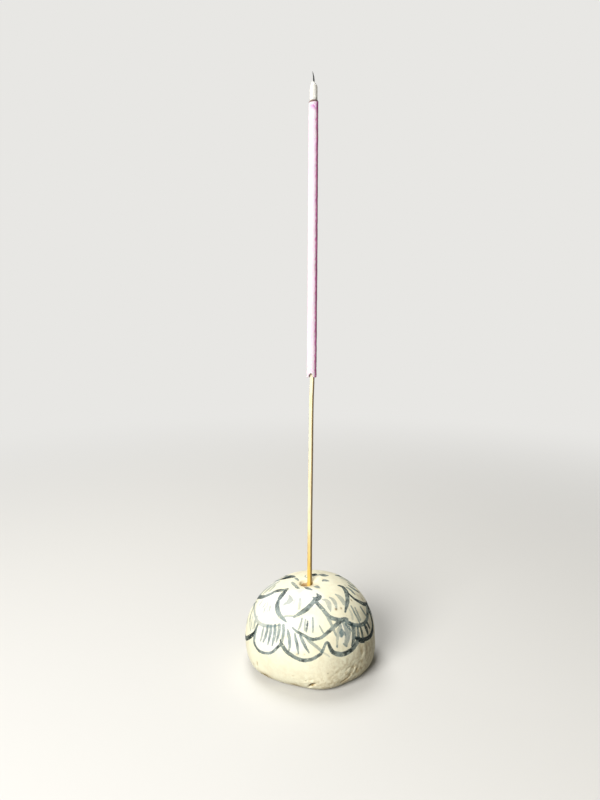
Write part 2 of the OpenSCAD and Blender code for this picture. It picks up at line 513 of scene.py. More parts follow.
# Each mark: load of ink, widths in mm from its start to its end, and its way as
# (direction in degrees, drop from the crown's middle in mm).
OUTLINES = [
    # first ring of scales
    (0.88, (0.8, 1.7, 1.5, 1.5, 1.7, 1.8),
     [(200, 9.2), (198, 10.2), (191, 12.2), (187, 13.7), (186.5, 15.4), (185, 17.1), (181, 19.6),
      (171, 22.4)]),
    (0.86, (2, 1.5, 1.2, 0.9), [(171, 22.7), (160, 24.5), (146, 22.5), (137, 17), (131, 12)]),
    (0.86, (0.8, 1.6, 1.9, 2, 1.7), [(201, 9.2), (202.5, 10), (205, 11), (208, 12.2), (211.9, 14)]),
    (0.85, (1.3, 1.8, 1.8, 1.7), [(213.9, 15.2), (218, 16.5), (222, 17.6), (227.5, 18.8)]),
    (0.76, (1.7, 1.5, 1.1, 0.3), [(227.5, 18.8), (233.5, 19.8), (239, 20.5), (243.5, 21.3)]),
    (0.62, (0.4, 0.5, 0.4, 0.2), [(239, 19.3), (243, 19), (250.6, 18.7), (256, 18.2)]),
    (0.84, (0.8, 1.3, 1.7, 1.8, 1.6, 1.5, 1.8),
     [(251, 18.9), (255, 18), (259.5, 17), (265, 15.9), (271, 14.3), (275, 13.3), (281, 11.9),
      (287.5, 11.3)]),
    (0.93, (0.4, 1.5, 2.1, 1.5), [(290.3, 9.1), (290.6, 9.9), (292, 10.8), (287, 11.5), (283, 12)]),
    (0.8, (0.3, 0.8, 1), [(278, 10.4), (281, 10.9), (284, 11.3)]),
    (0.82, (1.3, 1.4, 1.6, 1.4, 1.4),
     [(282.5, 13), (286.5, 15.2), (289.5, 17.2), (291.5, 18.8), (293.5, 20.2), (298, 21.4),
      (306, 23.1)]),
    (0.92, (0.6, 1.5, 1.9, 1.9, 1.8),
     [(350.5, 12.2), (351.5, 13.4), (350.5, 14.5), (346, 15.7), (335.5, 17.4)]),
    (0.86, (1.8, 1.5, 1.1, 0.4), [(335.5, 17.4), (327, 18.8), (320, 19.9), (314.5, 21.1)]),
    (0.88, (1.2, 1.5, 1.4, 1), [(303, 22.7), (307, 23), (310.5, 23.3), (312.5, 23.7)]),
    (0.98, (0.5, 0.8, 1.1, 1.4, 1.7, 1.5),
     [(345, 16.2), (342.5, 18), (342.5, 20.3), (345, 22.4), (348.5, 24.3), (352.5, 25.7)]),
    (1, (1.6, 1.4, 1.3, 1, 0.8), [(352.5, 25.7), (358, 27.2), (8, 28), (18, 26), (27, 21), (33, 14)]),
    # second ring
    (0.56, (1.6, 1.2, 1, 1, 1.2, 1, 0.3),
     [(175, 26), (188, 25.6), (197.5, 25.7), (209.5, 26.1), (215, 25.9), (221, 25.3), (231.5, 24),
      (237, 23.1)]),
    (0.84, (0.3, 0.8, 0.9, 1, 0.9, 1, 1.2, 1.4, 1.5),
     [(252, 23), (256.5, 24.1), (264, 25.5), (268.5, 26.5), (271.7, 27.1), (276, 27.1), (280, 26.9),
      (284.5, 26.1), (289.5, 25.1), (295, 24.2), (305, 23)]),
    (0.68, (0.9, 1, 0.9, 0.7, 0.3),
     [(291.2, 19.8), (292.4, 21.9), (293.5, 24), (294, 25.2), (294.6, 27.4)]),
    (0.85, (1.3, 1.3, 1.3, 1.3, 1.5, 1.8, 2),
     [(310, 23.5), (312, 25), (314.5, 26), (318.5, 27.1), (323.5, 28.2), (329, 28.9), (334.5, 29.2),
      (340, 29.1), (345, 28.5), (350.5, 27.9), (354.5, 27.1)]),
    # third ring
    (0.98, (1.2, 1.4, 1.5, 1.6, 1.7, 1.5, 0.7),
     [(168, 36.2), (180, 37.9), (190.7, 37.8), (199.5, 35.3), (205.5, 33), (209, 31), (210, 29.3),
      (210, 27.8), (209.5, 26.4)]),
    (0.88, (0.8, 1, 1.2), [(146, 29.5), (155, 33), (168, 36.5)]),
    (0.62, (0.8, 1.7, 0.8), [(202, 25.2), (203, 27), (206, 29.2)]),
    (0.85, (1.1, 1.5, 1.3, 1, 0.9, 1, 0.8, 0.8, 0.8, 0.9, 0.6),
     [(209.5, 28), (210.7, 30), (211.7, 32), (213, 33.7), (216.3, 35), (221, 35.8), (225.5, 35.7),
      (230, 35.2), (234, 34.4), (237.5, 33.1), (240.5, 31.4), (242.5, 30), (243, 28.7)]),
    (0.86, (0.6, 1.4, 1.3, 1.2, 1.2, 1.1, 1, 0.9, 0.7, 0.8),
     [(242.3, 28.3), (244, 29.5), (246.7, 30.9), (250, 32.2), (254, 33.2), (258, 34.1), (262.5, 34.7),
      (266.3, 34.8), (271, 34.4), (275.5, 33.5), (279, 32.5), (281.3, 31), (283, 29.7), (284.5, 29),
      (286, 29.2), (287, 30.2)]),
    (0.88, (1, 1.4, 1.6, 1.6, 1.6, 1.6, 1.8),
     [(286.7, 30), (287.3, 31.4), (289.3, 32.9), (292.3, 33.9), (296, 34.6), (300.5, 34.8), (305, 34.6),
      (309.3, 34.1), (313, 33.3), (315.5, 32.6)]),
    (1, (1, 1.9, 1.6, 0.6), [(314, 31.2), (316.5, 32.2), (320, 33.5), (323, 34.6)]),
    (1, (1.3, 1.2, 1.4, 1.8, 2.2, 2.2, 2, 1.6),
     [(315.3, 31.9), (319.5, 33), (324.5, 33.9), (330, 34.7), (335.5, 35.1), (341, 35), (346.5, 34.3),
      (350, 33), (351.8, 31.3), (352.7, 29.5), (353.8, 27.6)]),
    (1, (1.4, 2.1, 2.1, 1.8, 1.2), [(355.7, 26.3), (359.3, 28.7), (0.8, 30.8), (2.2, 32.6), (4.5, 34)]),
    # dark strokes in the smudged scale
    (0.72, (0.4, 0.8, 0.8, 0.4), [(301.8, 25.9), (302.5, 26.8), (301.8, 27.7), (299.6, 28.3)]),
    (0.74, (0.3, 0.8, 0.4), [(300.2, 26.3), (299.9, 26.9), (299.7, 27.4)]),
    (0.8, (0.4, 0.8, 0.6), [(302.4, 26.4), (303.1, 27.3), (304, 28.3)]),
    (0.78, (0.5, 0.7, 0.7, 0.4), [(308.2, 24.9), (309.2, 25.9), (310.3, 26.9), (311.9, 28.2)]),
]

HATCHES = [
    # dashes round the mouth
    (0.95, (1.2, 3.2, 3.6, 3, 0.8),
     [(146.5, 14.4), (143.5, 13.4), (140, 11.6), (138, 9.7), (137.7, 7.8)]),
    (0.8, (1.6, 2), [(145.5, 17), (146.5, 15.4)]),
    (0.8, (0.5, 1.1, 0.9, 0.4), [(143.8, 6.9), (147, 5.8), (149, 5.2), (150.4, 4.4)]),
    (0.76, (0.6, 1.4, 1.2), [(172.5, 6.9), (186, 6.2), (203, 5.8)]),
    (0.82, (0.7, 1.4, 0.4), [(203, 5.7), (217, 5.9), (230, 6)]),
    (0.87, (0.8, 1.3, 1, 0.3), [(250, 4.2), (263, 5), (272.5, 5.6), (280.5, 6.4)]),
    (0.82, (0.5, 1.6, 1.3, 0.3), [(296.5, 4.9), (303.5, 5.3), (307, 5.9), (308.5, 6.8)]),
    (0.85, (0.8, 1.4, 1.3, 0.3), [(355.6, 5.7), (2, 6.3), (360, 7), (359.7, 8.1)]),
    (0.9, (1.1, 2.6, 2.2, 0.5), [(48.7, 7), (42, 7.7), (36, 8.4), (32.4, 9.6)]),
    (0.95, (1.4, 2.5, 0.9), [(72, 5.3), (66, 5.9), (56, 5.8)]),
    (0.5, (1, 1.1), [(55, 5.7), (47.5, 6.9)]),
    (0.66, (0.3, 0.4, 0.3), [(98.7, 5.8), (103.8, 5.6), (107.3, 4.9), (104.5, 4.5), (99.8, 4.6)]),
    # first ring of scales
    (0.5, (0.4, 1.4, 1.9, 1.4, 0.3),
     [(295, 12.5), (300, 13.5), (300.5, 15.2), (299, 16.8), (297.7, 18.3)]),
    (0.54, (0.4, 1.3, 1.4, 0.9, 0.3),
     [(308.7, 13), (311, 14.3), (310, 16.2), (308.5, 17.4), (307, 18.5)]),
    (0.56, (0.4, 1.6, 1.9, 1.5), [(323, 13.3), (324.4, 14.9), (323.3, 16.8), (321.4, 18.4)]),
    (0.54, (0.3, 1.3, 2.4, 1.4, 0.4),
     [(222.7, 10.8), (231, 11.9), (233, 13.3), (229.5, 14.5), (228, 15.4)]),
    (0.32, (0.3, 0.6, 0.3), [(241.5, 11.4), (242.5, 12.7), (243, 14.2)]),
    (0.44, (0.7, 1.1, 0.6), [(251, 11), (254, 13.2), (255, 15.6)]),
    (0.2, (0.3, 0.5, 0.2), [(260, 11.4), (261, 13.1), (261, 14.1)]),
    (0.82, (0.5, 1.1, 1.1, 0.6), [(355.7, 15.7), (355.4, 17.4), (353.2, 18.7), (351.4, 19.8)]),
    (0.84, (0.7, 1.5, 1.3, 0.8), [(5.2, 17.1), (3, 18.5), (2.7, 20.1), (4.3, 22.2)]),
    (0.76, (0.8, 1.6, 1), [(14.4, 17.6), (11.4, 18.9), (11.9, 20.7)]),
    (0.62, (0.6, 1.2, 0.8), [(24.5, 15), (22, 18), (18, 21)]),
    # second ring
    (0.7, (1.6, 2.4, 2, 1.2), [(168, 22.8), (163.5, 21.5), (159, 20), (155, 18.2), (153, 16.5)]),
    (0.6, (0.8, 1.8, 1.8, 0.8), [(173, 19.8), (169, 18.2), (163, 16.6), (155.5, 13.8)]),
    (0.56, (0.6, 1.4, 0.8), [(176, 16.7), (172, 15.5), (165.5, 14.6)]),
    (0.46, (0.5, 0.6), [(187.5, 20.2), (190, 21.9)]),
    (0.44, (0.5, 0.6, 0.4), [(197.5, 19.1), (198.5, 20.1), (200, 21.2)]),
    (0.48, (0.5, 0.6, 0.3), [(203.7, 20.5), (206, 21.3), (207.5, 22.1)]),
    (0.48, (0.5, 0.6, 0.3), [(208.7, 18.5), (212, 19.3), (213.5, 20.3)]),
    (0.36, (0.4, 0.4), [(198, 18.1), (203, 19.1)]),
    (0.7, (0.35, 0.6, 0.6, 0.35), [(261, 19.3), (260.6, 21), (259.8, 22.4), (258.6, 23.5)]),
    (0.6, (0.35, 0.55, 0.4), [(265.4, 19.7), (265, 21), (264.8, 22.7), (265.4, 24)]),
    (0.86, (0.3, 0.55, 0.4, 0.3), [(267.9, 20.4), (267.5, 21.8), (267, 23), (266.6, 24.3)]),
    (0.7, (0.35, 0.6, 0.45, 0.3), [(274, 19.2), (273.8, 21), (273.5, 22.9), (273, 24.6)]),
    (0.66, (0.3, 0.5, 0.3), [(280.5, 22.6), (281.7, 24), (283.3, 25.7)]),
    (0.3, (0.4, 1, 0.9), [(322, 21), (321.3, 22.9), (319, 24.6)]),
    (0.76, (0.4, 0.9, 0.8, 0.6), [(328, 20.7), (326, 23.5), (325.4, 26.2), (325, 27.8)]),
    (0.66, (0.5, 0.75, 0.7), [(331.5, 22.3), (329, 24.5), (328, 27)]),
    (0.78, (0.5, 0.9, 0.9), [(340, 23.9), (339.7, 26.1), (341, 28.2)]),
    (0.22, (0.3, 0.7, 0.4), [(329, 21.5), (327, 24.3), (326.8, 26.1)]),
    # third ring
    (0.64, (1, 1.2, 1, 0.8, 0.5), [(174, 25.8), (181, 27.5), (187, 28.9), (194, 29.9), (201.5, 31.3)]),
    (0.68, (1.2, 1.4, 0.9), [(174, 31.1), (178, 32.3), (185, 32.6)]),
    (0.6, (0.5, 0.7, 0.4), [(192.5, 27.4), (198, 28.9), (204, 30.2)]),
    (0.68, (0.4, 0.9, 0.8, 0.4), [(219, 26.1), (220.3, 28.1), (221.2, 29.7), (221, 31.6)]),
    (0.8, (1, 1.2, 1.1, 0.4), [(223.6, 25.1), (225, 27), (225.5, 28.9), (224.5, 31.4)]),
    (0.77, (1.1, 1.2, 0.9, 0.3), [(227.5, 24.6), (229.5, 26.3), (230.4, 28.9), (230.4, 31.7)]),
    (0.8, (1, 1.2, 1.1, 0.4), [(232, 23.8), (234.2, 25.7), (235.3, 28.2), (235, 31.2)]),
    (0.76, (1.2, 1, 0.8, 0.4), [(236.6, 23.1), (238.3, 24.7), (239, 27), (238.4, 29.4)]),
    (0.72, (0.9, 1.1, 1.1, 0.8), [(241.2, 22.7), (243.5, 24.6), (244, 26.8), (244.1, 28.3)]),
    (0.8, (0.5, 1.1, 1.1, 0.9, 0.4),
     [(247.3, 24.1), (249.6, 25.9), (251.2, 28), (252, 29.8), (251.5, 31.4)]),
    (0.8, (0.4, 1, 0.9, 0.4), [(255.4, 25.1), (256.7, 26.9), (258.5, 29), (260, 32.3)]),
    (0.78, (0.5, 1.1, 0.9, 0.3), [(260.4, 25.4), (263, 27.3), (265.7, 29.5), (268.8, 31.9)]),
    (0.66, (0.3, 0.8, 0.9, 0.9, 0.8, 0.6),
     [(267, 26.7), (269.4, 27.8), (271.6, 28.5), (274.8, 29.6), (277.7, 30.9), (280.5, 32.3)]),
    (0.32, (0.6, 0.5, 0.25), [(280.5, 32.3), (283, 33.1), (285.8, 34.3)]),
    (0.46, (1, 1.1, 0.9, 0.5), [(298.3, 25.6), (296.6, 27.2), (295.2, 28.8), (293.9, 30.6)]),
    (0.66, (1, 1.8, 2, 1.5), [(302, 24.6), (300.4, 26), (299.8, 27), (299.8, 27.9)]),
    (0.64, (1.2, 1.6, 2.1, 2.2, 1.5),
     [(308.3, 23.9), (307.4, 25.5), (307.1, 27.6), (305.6, 29.4), (302.9, 31.3)]),
    (0.84, (0.8, 1.6, 1.7, 1.5, 1.1),
     [(313.6, 25.1), (315.1, 26.9), (313.9, 28.9), (311.4, 31.1), (308.7, 33.1)]),
    (0.6, (0.5, 0.5, 0.4), [(305.7, 23.9), (305.8, 25.3), (305.3, 26.9)]),
    (0.84, (0.3, 0.6, 0.7), [(299.9, 31.1), (301.3, 31.7), (302.7, 32.3)]),
    (0.8, (0.4, 0.6), [(293.8, 30.9), (293.4, 31.4)]),
    (0.7, (0.3, 0.6, 0.4), [(311.5, 25.9), (310.3, 27.7), (308, 29.5)]),
    (0.84, (0.7, 1.3, 1.2), [(320, 28.2), (318.6, 29.9), (317, 32.2)]),
    (0.88, (0.5, 1.2, 1), [(324, 28.8), (323.2, 30.9), (322, 33.3)]),
    (0.96, (1, 1.7, 1.2), [(330.5, 29.4), (331.5, 31.4), (331.8, 33.2)]),
    (0.92, (0.8, 1.4, 0.9), [(336, 29.4), (337, 31), (338, 32.6)]),
    (0.7, (0.4, 0.7, 0.5), [(318, 27.3), (315, 29.1), (313.7, 30.8)]),
]


# Rings of scales on the side that faces away: the directions between scales, the top and bottom drop
# of their edges, and the drop at which their hatches start.
BACK_RINGS = [([33, 86, 131], 14.0, 24.3, 16.0),
              ([21, 48, 88, 133, 176], 24.0, 30.0, 22.5),
              ([-6, 32, 69, 105, 138, 168], 28.8, 35.3, 28.4)]
BACK_WIDTHS = (0.9, 1.15, 1.0, 1.2, 0.8)
BACK_HATCHES = 5
SWAG_POWER, SWAG_STEPS = 0.7, 7


def swag(start, end, top, bottom):
    """Way of a hanging scale edge between two directions."""
    return [(start + (end - start) * s, top + (bottom - top) * math.sin(math.pi * s) ** SWAG_POWER)
            for s in np.linspace(0, 1, SWAG_STEPS)]


def back_marks():
    """The same scales on the side that faces away, from a loop."""
    draw = np.random.RandomState(7)
    lines, hatches = [], []
    for directions, top, bottom, hatch_top in BACK_RINGS:
        for start, end in zip(directions, directions[1:]):
            low = bottom + draw.uniform(-0.5, 0.5)
            lines.append((draw.uniform(0.78, 0.9), BACK_WIDTHS, swag(start, end, top, low)))
            middle = (start + end) / 2
            for number in range(BACK_HATCHES):
                s = (number + 1) / (BACK_HATCHES + 1) + draw.uniform(-0.02, 0.02)
                reach = math.sin(math.pi * s) ** SWAG_POWER
                here = start + (end - start) * s
                aim = middle + (here - middle) * 0.8
                first = hatch_top + 2.5 * (1 - reach)
                last = first + (low - 1.6 - first) * (0.55 + 0.4 * reach)
                halfway = (first + last) / 2 + draw.uniform(-0.3, 0.3)
                wide = draw.uniform(0.5, 1.0)
                hatches.append((draw.uniform(0.45, 0.8), (0.25, wide, wide * 0.8, 0.25),
                                [(aim, first), ((aim + here) / 2, halfway), (here, last)]))
    return lines, hatches


WAY_STEP = 0.3
CURVE_STEPS = 12


def smooth_way(points):
    """A curve through (direction, drop) points: dense points, how far along each lies, and its places."""
    way = np.array(points, float)
    way[:, 0] = np.degrees(np.unwrap(np.radians(way[:, 0])))
    if len(way) > 2:
        padded = np.concatenate([[2 * way[0] - way[1]], way, [2 * way[-1] - way[-2]]])
        pieces = []
        for p0, p1, p2, p3 in zip(padded, padded[1:], padded[2:], padded[3:]):
            t = np.linspace(0, 1, CURVE_STEPS, endpoint=False)[:, None]
            pieces.append(0.5 * (2 * p1 + (p2 - p0) * t + (2 * p0 - 5 * p1 + 4 * p2 - p3) * t ** 2
                                 + (3 * p1 - p0 - 3 * p2 + p3) * t ** 3))
        way = np.concatenate(pieces + [way[-1:]])
    along = np.concatenate([[0], np.cumsum(np.linalg.norm(np.diff(on_dome(way), axis=0), axis=1))])
    steps = np.linspace(0, along[-1], max(3, int(along[-1] / WAY_STEP) + 1))
    dense = np.stack([np.interp(steps, along, way[:, 0]), np.interp(steps, along, way[:, 1])], -1)
    return steps, on_dome(dense)


def near_way(points, steps, place, limit):
    """Points within the limit of a curve's box: which, distance, how far along it, and on which side."""
    close = np.flatnonzero(((points > place.min(0) - limit) & (points < place.max(0) + limit)).all(1))
    points = points[close]
    start, reach = place[:-1], np.diff(place, axis=0)
    length = np.linalg.norm(reach, axis=1)
    offset = points[:, None, :] - start[None]
    t = np.clip((offset * reach).sum(-1) / length ** 2, 0, 1)
    gap = offset - t[..., None] * reach
    distance = np.linalg.norm(gap, axis=-1)
    best = distance.argmin(1)
    rows = np.arange(len(points))
    side = np.sign((np.cross(reach[best], gap[rows, best]) * (points - DOME_CENTRE)).sum(-1))
    return close, distance[rows, best], steps[best] + t[rows, best] * length[best], side


FAR = 3.0
MARK_GAP = 11.3


def paint(points, marks, seed):
    """Of the nearest mark: signed distance to its edge in mm, its load, and where along and across it."""
    edge = np.full(len(points), FAR)
    load, along, across = (np.zeros(len(points)) for _ in range(3))
    start = 0.0
    draw = np.random.RandomState(seed)
    for strength, widths, way in marks:
        steps, place = smooth_way(way)
        close, distance, reach, side = near_way(points, steps, place, FAR)
        wide = np.interp(reach / steps[-1], np.linspace(0, 1, len(widths)), widths)
        here = distance - wide / 2
        nearer = here < edge[close]
        chosen = close[nearer]
        edge[chosen] = here[nearer]
        tide = 1 + 0.04 * np.sin(reach[nearer] * draw.uniform(0.5, 1.1) + draw.uniform(0, 6))
        load[chosen] = np.clip(strength * tide, 0, 1)
        along[chosen] = start + reach[nearer]
        across[chosen] = (side * distance / np.maximum(wide, 0.3) * 2)[nearer]
        start += steps[-1] + MARK_GAP
    return edge, load, along, across


# -------- the glazed dome

AROUND = 480
ROW_STEP = 0.32
CROWN_EDGE = 6.6
LIP_R, LIP_DEEP = 0.55, 0.7
LIP_EDGE = MOUTH_R + LIP_R
HIDDEN_DROP_UNDER, HIDDEN_DROP_INSIDE = 60.0, 3.0
FOOT_FADE_H, HOLLOW_FULL = 1.2, 0.8
BARE_FOOT_H, GLAZE_FADE_H, GLAZED_MOUTH, GLAZE_FADE_MOUTH = 0.15, 0.5, 0.5, 1.6

# Dents and ridges in the clay: height, half width, way.
CLAY_MARKS = [
    # a folded flap, grooves and pits low on the right
    (-0.24, 0.32, [(298.5, 41.7), (301, 41.1), (304.5, 41), (307.9, 41.8)]),
    (0.08, 0.8, [(299, 43), (303, 42.3), (307, 43)]),
    (-0.22, 0.34, [(307.9, 41.9), (306.2, 43.2), (302.3, 44.2)]),
    (-0.38, 0.36, [(294.3, 46.6), (296.9, 46), (300.3, 45.4), (304.4, 44.6)]),
    (-0.15, 0.32, [(296.6, 44.4), (301, 43.6), (304.7, 43.5)]),
    (-0.14, 0.45, [(286, 42.3), (291.5, 41.2)]),
    (-0.3, 0.34, [(311, 43.1), (311.6, 43.3)]),
    (-0.26, 0.34, [(316.3, 44.1), (316.8, 44.3)]),
    (-0.22, 0.34, [(310.2, 44.4), (310.7, 44.8)]),
    (-0.22, 0.32, [(317.1, 41.4), (317.4, 41.7)]),
    (-0.2, 0.32, [(312.7, 41.7), (312.9, 42.1)]),
    (-0.2, 0.34, [(304.6, 42.3), (305, 42.6)]),
    (-0.22, 1.3, [(318, 35.5), (319, 38.2)]),
    (0.1, 1.1, [(322.5, 35.5), (322, 40)]),
    (-0.12, 0.6, [(327, 36), (325, 39), (324, 40.6)]),
    # the pinch at the foot, with the clay pushed up over it
    (-0.85, 0.42, [(267.6, 46.8), (269.4, 45.6), (272, 45.1)]),
    (0.13, 0.5, [(263.5, 44.9), (267, 44.2), (271, 43.9)]),
    (-0.12, 0.34, [(264, 44), (267, 43.3), (270, 43.2)]),
    (-0.28, 0.34, [(218.2, 41.8), (217.6, 43.5)]),
    (-0.18, 0.32, [(212, 43.9), (212.4, 44.3)]),
    (-0.16, 0.32, [(254, 42.4), (255, 42.3)]),
    (-0.12, 0.3, [(240, 37.3), (240.5, 37.6)]),
    # the side that faces away
    (-0.3, 1.6, [(60, 41), (68, 39)]),
    (-0.25, 0.34, [(96, 45.5), (99, 44.6)]),
    (0.2, 0.5, [(118, 43.5), (124, 42.2), (130, 42.6)]),
    (-0.22, 0.34, [(150, 44), (151, 45)]),
    (-0.2, 0.34, [(25, 43), (26, 43.8)])]

# Where the clay stayed rough under a thin glaze: direction, drop, half width in degrees, half height
# in mm, strength.
WORN = [(309, 43, 24, 7, 1), (285, 45.5, 24, 4.5, 0.7), (328, 39, 14, 7, 0.7), (60, 42, 25, 5, 0.6),
    (318, 37, 5, 3.5, 0.7), (344, 38, 14, 9, 0.8), (130, 44, 20, 4, 0.5)]

# Warm brown places in the glaze: the same five numbers.
# The one at the pinch (269.4°) is painted shade in its slit; the wide ones low at 225° and 254.5° brown
# the foot's edge, partly as painted shade.
STAINS_AND_SHADE = [(306, 18.4, 1.6, 0.55, 1.1), (313, 19.1, 1.2, 0.45, 0.9), (336, 19.4, 1, 0.45, 1.1),
    (353.8, 21.2, 1.8, 1.2, 0.45), (356.1, 23.9, 1.8, 1.1, 0.6), (15, 5.6, 14, 0.7, 0.22),
    (258.7, 32.6, 1.1, 0.45, 0.6), (265, 32.6, 0.8, 0.35, 0.45), (318, 36.3, 1.5, 1.9, 0.5),
    (326, 38, 1.5, 3.2, 0.4), (269.4, 45.7, 1.5, 0.45, 1.9), (297, 46, 3.5, 0.6, 0.5),
    (311.3, 43.2, 1, 0.6, 0.6), (316.5, 44.2, 1, 0.5, 0.6), (317.3, 41.5, 0.8, 0.5, 0.45),
    (304.8, 42.4, 0.8, 0.4, 0.35), (310.5, 44.7, 0.9, 0.5, 0.5), (218, 42.4, 0.8, 1.1, 0.55),
    (212.2, 44.1, 0.8, 0.5, 0.5), (225, 46.9, 6.5, 1.2, 0.9), (254.4, 42.4, 0.9, 0.3, 0.45),
    (254.5, 47.5, 5, 0.9, 0.8), (331, 24, 1.5, 0.6, 0.35), (116, 6, 16, 1.6, 0.16),
    (122, 10.5, 9, 1.2, 0.14), (8, 4.6, 20, 0.8, 0.16), (318, 5, 8, 0.8, 0.12), (97, 45, 2, 0.8, 0.6),
    (60, 36, 1.2, 0.5, 0.6), (150, 33, 1, 0.5, 0.6), (20, 40, 2.2, 2.6, 0.4)]

# Whiter slip inside the scales: the same five numbers.
SLIPS = [(226, 14, 24, 6.2, 1), (272, 10, 30, 5.4, 0.9), (200, 19.5, 22, 7, 1),
    (226, 29.5, 16, 6.4, 1), (256, 28.5, 11, 4.4, 0.55), (246, 22.5, 12, 4, 0.8),
    (268, 20.5, 14, 3.6, 0.5), (304, 16.5, 12, 4, 0.3), (335, 31.5, 14, 2, 0.3),
    (304.5, 28, 10, 5, 0.38), (150, 19, 14, 5, 0.8), (108, 20, 20, 5, 0.9), (60, 19, 20, 5, 0.7),
    (14, 30, 14, 3, 0.6), (50, 31, 16, 3, 0.9), (87, 30, 16, 3.4, 0.7), (122, 31, 14, 3, 0.9),
    (153, 31, 12, 3, 0.6)]


UNDER_RADII = (0, 3, 6, 9, 12, 14, 16, 16.8, 17.5, 18.2, 18.8, 19.3)
UNDER_RISE, UNDER_RISE_R, UNDER_RISE_EDGE = 0.35, 16, 2.6
CROWN_ROWS, LIP_ROWS, FUNNEL_ROWS = 11, 7, 12
BORE_SHARES = (0.25, 0.5, 0.75, 0.98)
SOCKET_FLOOR_RADII = (0.8 * BORE_R, 0)


def dome_rows():
    """Rows of the dome's mesh from under the foot to the socket's floor: part, radius, height, and how
    far through its part each lies, which on the skin is its drop."""
    rows = [("under", r, UNDER_RISE * (1 - smooth((r - UNDER_RISE_R) / UNDER_RISE_EDGE)), 0)
            for r in UNDER_RADII]
    top = np.interp(CROWN_EDGE, PROFILE_R[:CROWN_STEPS], PROFILE_DROP[:CROWN_STEPS])
    count = int((PROFILE_DROP[-1] - top) / ROW_STEP)
    rows += [("skin", *profile_at(drop), drop) for drop in np.linspace(PROFILE_DROP[-1], top, count)]
    for part, count in (("crown", CROWN_ROWS), ("lip", LIP_ROWS), ("funnel", FUNNEL_ROWS)):
        rows += [(part, MOUTH_R, DOME_H, t) for t in np.linspace(0, 1, count + 1)[1:]]
    rows += [("bore", BORE_R, DOME_H, t) for t in BORE_SHARES]
    return rows + [("floor", r, DOME_H, 1) for r in SOCKET_FLOOR_RADII]


def funnel_radius(deep):
    return MOUTH_R + (BORE_R - MOUTH_R) * np.clip(deep / MOUTH_DEEP, 0, 1)


def down_the_mouth(azimuth, radius, deep):
    """Place on the funnel or bore at a direction, a radius and a depth under the crown."""
    share = np.clip(1 - deep / MOUTH_DEEP, 0, 1)
    left = np.array([MOUTH_LEFT, 0, 0])
    inside = on_stick(polar(azimuth, radius, -deep) - share[:, None] * left)
    rim = on_stick(polar(azimuth, LIP_EDGE, 0 * azimuth) - left)
    inside[:, 2] += share * (crown_at(*(rim[:, :2] - CROWN_SHIFT).T) - rim[:, 2])
    return inside


def blobs(azimuth, drop, table, sharp=1.0):
    """The strongest of a table's soft-edged ovals at each point."""
    total = np.zeros(len(azimuth))
    for direction, level, wide, tall, strength in table:
        reach = (turn_between(azimuth, direction) / wide) ** 2 + ((drop - level) / tall) ** 2
        total = np.maximum(total, strength * np.exp(-reach ** sharp))
    return total


# The way a finger dragged the wet clay low on the right, and how far it drew the lumps out
RUB, RUB_STRETCH = np.array([0.55, 0.43, 0.715]), 0.6


def clay_relief(points, azimuth, drop):
    """How far the hand-formed surface stands out at each point."""
    total = lumps(points, (0.055, 11, 3), (0.028, 5.2, 4), (0.008, 1.9, 5))
    slanting = points - RUB_STRETCH * (points @ RUB)[:, None] * RUB
    total += blobs(azimuth, drop, WORN) * lumps(slanting, (0.055, 1.9, 6), (0.016, 1.0, 7))
    for height, half, way in CLAY_MARKS:
        close, distance, _, _ = near_way(points, *smooth_way(way), 4 * half)
        total[close] += height * bell(distance, half)
    return total


def form_dome(kind, radius, height, share, azimuth):
    """The rows laid on the formed surface: place, depth down the mouth, direction and drop of a point."""
    under, on_crown, lip, funnel, bore, floor = (
        kind == part for part in ("under", "crown", "lip", "funnel", "bore", "floor"))
    points = skin(radius, height, azimuth)
    points[under, 2] = height[under]

    t = share[on_crown, None]
    edge_z = np.interp(CROWN_EDGE, PROFILE_R[:CROWN_STEPS], PROFILE_Z[:CROWN_STEPS])
    edge = skin(CROWN_EDGE, edge_z, azimuth[on_crown])
    mouth = down_the_mouth(azimuth[on_crown], LIP_EDGE, 0 * azimuth[on_crown])
    points[on_crown] = edge * (1 - t) + mouth * t
    before_shift = points[on_crown, :2] - CROWN_SHIFT
    points[on_crown, 2] = crown_at(*before_shift.T)

    deep = np.zeros(len(points))
    deep[lip] = LIP_DEEP * (1 - np.cos(share[lip] * math.pi / 2))
    deep[funnel] = LIP_DEEP + (MOUTH_DEEP - LIP_DEEP) * share[funnel]
    deep[bore] = MOUTH_DEEP + (BORE_DEEP - MOUTH_DEEP) * share[bore]
    deep[floor] = BORE_DEEP
    lip_r = LIP_EDGE - (LIP_EDGE - funnel_radius(LIP_DEEP)) * np.sin(share * math.pi / 2)
    across = np.where(lip, lip_r, np.where(floor, radius, funnel_radius(deep)))
    inner = lip | funnel | bore | floor
    points[inner] = down_the_mouth(azimuth[inner], across[inner], deep[inner])

    drop = np.where(kind == "skin", share, np.where(under, HIDDEN_DROP_UNDER, HIDDEN_DROP_INSIDE))
    drop[on_crown] = np.hypot(*before_shift.T)
    bearing = azimuth.copy()
    bearing[on_crown] = np.degrees(np.arctan2(before_shift[:, 1], before_shift[:, 0])) % 360
    return points, deep, bearing, drop


